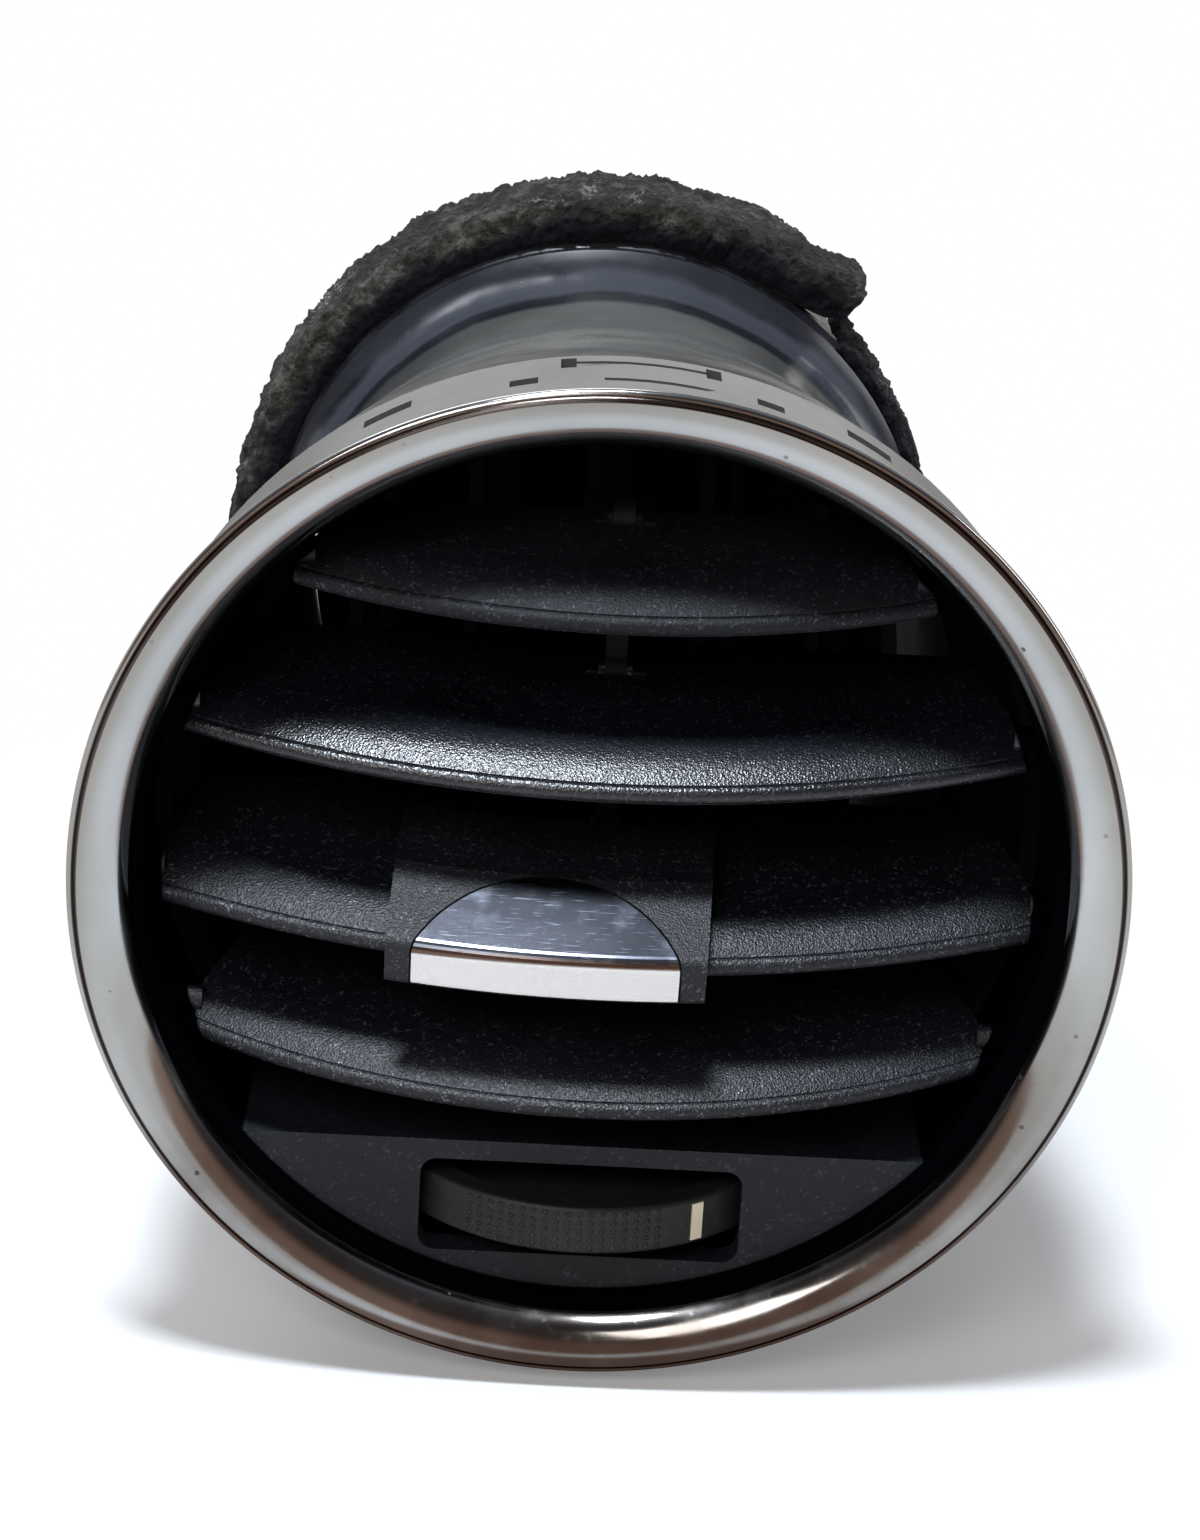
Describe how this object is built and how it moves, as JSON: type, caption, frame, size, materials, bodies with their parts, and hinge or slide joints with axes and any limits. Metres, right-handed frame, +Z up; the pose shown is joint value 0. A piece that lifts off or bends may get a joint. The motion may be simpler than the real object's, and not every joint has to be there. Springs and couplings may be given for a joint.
{
  "type": "dashboard air vent",
  "caption": "Round dashboard air vent with a chrome bezel, tilting slats, swinging vanes and a thumbwheel that works a damper.",
  "frame": {"origin": "on the vent's axis, at the back of the bezel's lip, where it meets the dashboard", "axes": "+Y runs back along the duct, +Z is up, +X is to the right as seen from the front"},
  "size_m": [0.096, 0.1241, 0.096],
  "materials": {
    "chrome": "bright plated, finely pitted",
    "black_gloss": "glossy moulded",
    "black_grain": "fine grained",
    "black_plain": "plain moulded",
    "link_plastic": "plain natural",
    "steel": "drawn wire",
    "cream": "printed bar",
    "felt": "pressed felt",
    "foam": "open-cell foam, worn"
  },
  "bodies": {
    "case": {"bezel_ring": "chrome", "housing": "black_gloss", "face_frame": "black_grain", "vane_frame": "black_plain", "wheel_axle": "steel", "wheel_washer": "felt", "foam_seal": "foam"},
    "slat_1": {"slat_1": "black_grain"},
    "slat_2": {"slat_2": "black_grain"},
    "slat_3": {"slat_3": "black_grain"},
    "slat_4": {"slat_4": "black_grain"},
    "slat_bar": {"slat_tie_bar": "black_plain"},
    "knob": {"knob_body": "black_grain", "knob_insert": "chrome", "knob_clip": "black_plain", "knob_fork": "black_plain"},
    "vane_1": {"vane_1": "black_plain"},
    "vane_2": {"vane_2": "black_plain"},
    "vane_3": {"vane_3": "black_plain"},
    "vane_4": {"vane_4": "black_plain"},
    "vane_5": {"vane_5": "black_plain"},
    "vane_bar": {"vane_tie_bar": "black_plain"},
    "wheel": {"thumbwheel": "black_grain", "wheel_marker": "cream"},
    "rod": {"push_rod": "link_plastic"},
    "damper": {"damper_crank": "black_plain", "damper_shaft": "steel", "damper_flap": "black_plain", "flap_gasket": "felt"}
  },
  "joints": [
    {"name": "slat_1_tilt", "type": "hinge", "parent": "case", "child": "slat_1", "pos_m": [0, 0.008, 0.02939], "axis": [1, 0, 0], "range_deg": [-36, 15]},
    {"name": "slat_2_tilt", "type": "hinge", "parent": "case", "child": "slat_2", "pos_m": [0, 0.008, 0.01489], "axis": [1, 0, 0], "range_deg": [-36, 15]},
    {"name": "slat_3_tilt", "type": "hinge", "parent": "case", "child": "slat_3", "pos_m": [0, 0.008, -0.0016], "axis": [1, 0, 0], "range_deg": [-36, 15]},
    {"name": "slat_4_tilt", "type": "hinge", "parent": "case", "child": "slat_4", "pos_m": [0, 0.008, -0.0151], "axis": [1, 0, 0], "range_deg": [-36, 15]},
    {"name": "slat_bar_pivot", "type": "hinge", "parent": "slat_3", "child": "slat_bar", "pos_m": [0.0006, 0.01641, 0.00019], "axis": [1, 0, 0], "range_deg": [-15, 36]},
    {"name": "knob_slide", "type": "hinge", "parent": "slat_3", "child": "knob", "pos_m": [0, 0.09767, 0.01746], "axis": [0, -0.2079, 0.9781], "range_deg": [-1.48, 6.52]},
    {"name": "vane_1_swing", "type": "hinge", "parent": "case", "child": "vane_1", "pos_m": [-0.022, 0.0365, 0], "axis": [0, 0, 1], "range_deg": [-11.84, 52.16]},
    {"name": "vane_2_swing", "type": "hinge", "parent": "case", "child": "vane_2", "pos_m": [-0.011, 0.0365, 0], "axis": [0, 0, 1], "range_deg": [-11.84, 52.16]},
    {"name": "vane_3_swing", "type": "hinge", "parent": "case", "child": "vane_3", "pos_m": [0, 0.0365, 0], "axis": [0, 0, 1], "range_deg": [-11.84, 52.16]},
    {"name": "vane_4_swing", "type": "hinge", "parent": "case", "child": "vane_4", "pos_m": [0.011, 0.0365, 0], "axis": [0, 0, 1], "range_deg": [-11.84, 52.16]},
    {"name": "vane_5_swing", "type": "hinge", "parent": "case", "child": "vane_5", "pos_m": [0.022, 0.0365, 0], "axis": [0, 0, 1], "range_deg": [-11.84, 52.16]},
    {"name": "vane_bar_pivot", "type": "hinge", "parent": "vane_3", "child": "vane_bar", "pos_m": [0.00278, 0.044, -0.018], "axis": [0, 0, 1], "range_deg": [-52.16, 11.84]},
    {"name": "wheel_turn", "type": "hinge", "parent": "case", "child": "wheel", "pos_m": [0, 0.0198, -0.0334], "axis": [0, 0, 1], "range_deg": [-67, 0]},
    {"name": "rod_pivot", "type": "hinge", "parent": "wheel", "child": "rod", "pos_m": [0.00751, 0.02477, -0.0382], "axis": [0, 0, 1], "range_deg": [0, 67]},
    {"name": "damper_turn", "type": "hinge", "parent": "case", "child": "damper", "pos_m": [0, 0.083, 0], "axis": [0, 0, 1], "range_deg": [-67, 0]}
  ],
  "couplings": [
    {"joint": "slat_1_tilt", "follows": "slat_3_tilt", "ratio": 1},
    {"joint": "slat_2_tilt", "follows": "slat_3_tilt", "ratio": 1},
    {"joint": "slat_4_tilt", "follows": "slat_3_tilt", "ratio": 1},
    {"joint": "slat_bar_pivot", "follows": "slat_3_tilt", "ratio": -1},
    {"joint": "vane_1_swing", "follows": "knob_slide", "ratio": 8},
    {"joint": "vane_2_swing", "follows": "knob_slide", "ratio": 8},
    {"joint": "vane_3_swing", "follows": "knob_slide", "ratio": 8},
    {"joint": "vane_4_swing", "follows": "knob_slide", "ratio": 8},
    {"joint": "vane_5_swing", "follows": "knob_slide", "ratio": 8},
    {"joint": "vane_bar_pivot", "follows": "knob_slide", "ratio": -8},
    {"joint": "rod_pivot", "follows": "wheel_turn", "ratio": -1},
    {"joint": "damper_turn", "follows": "wheel_turn", "ratio": 1}
  ]
}
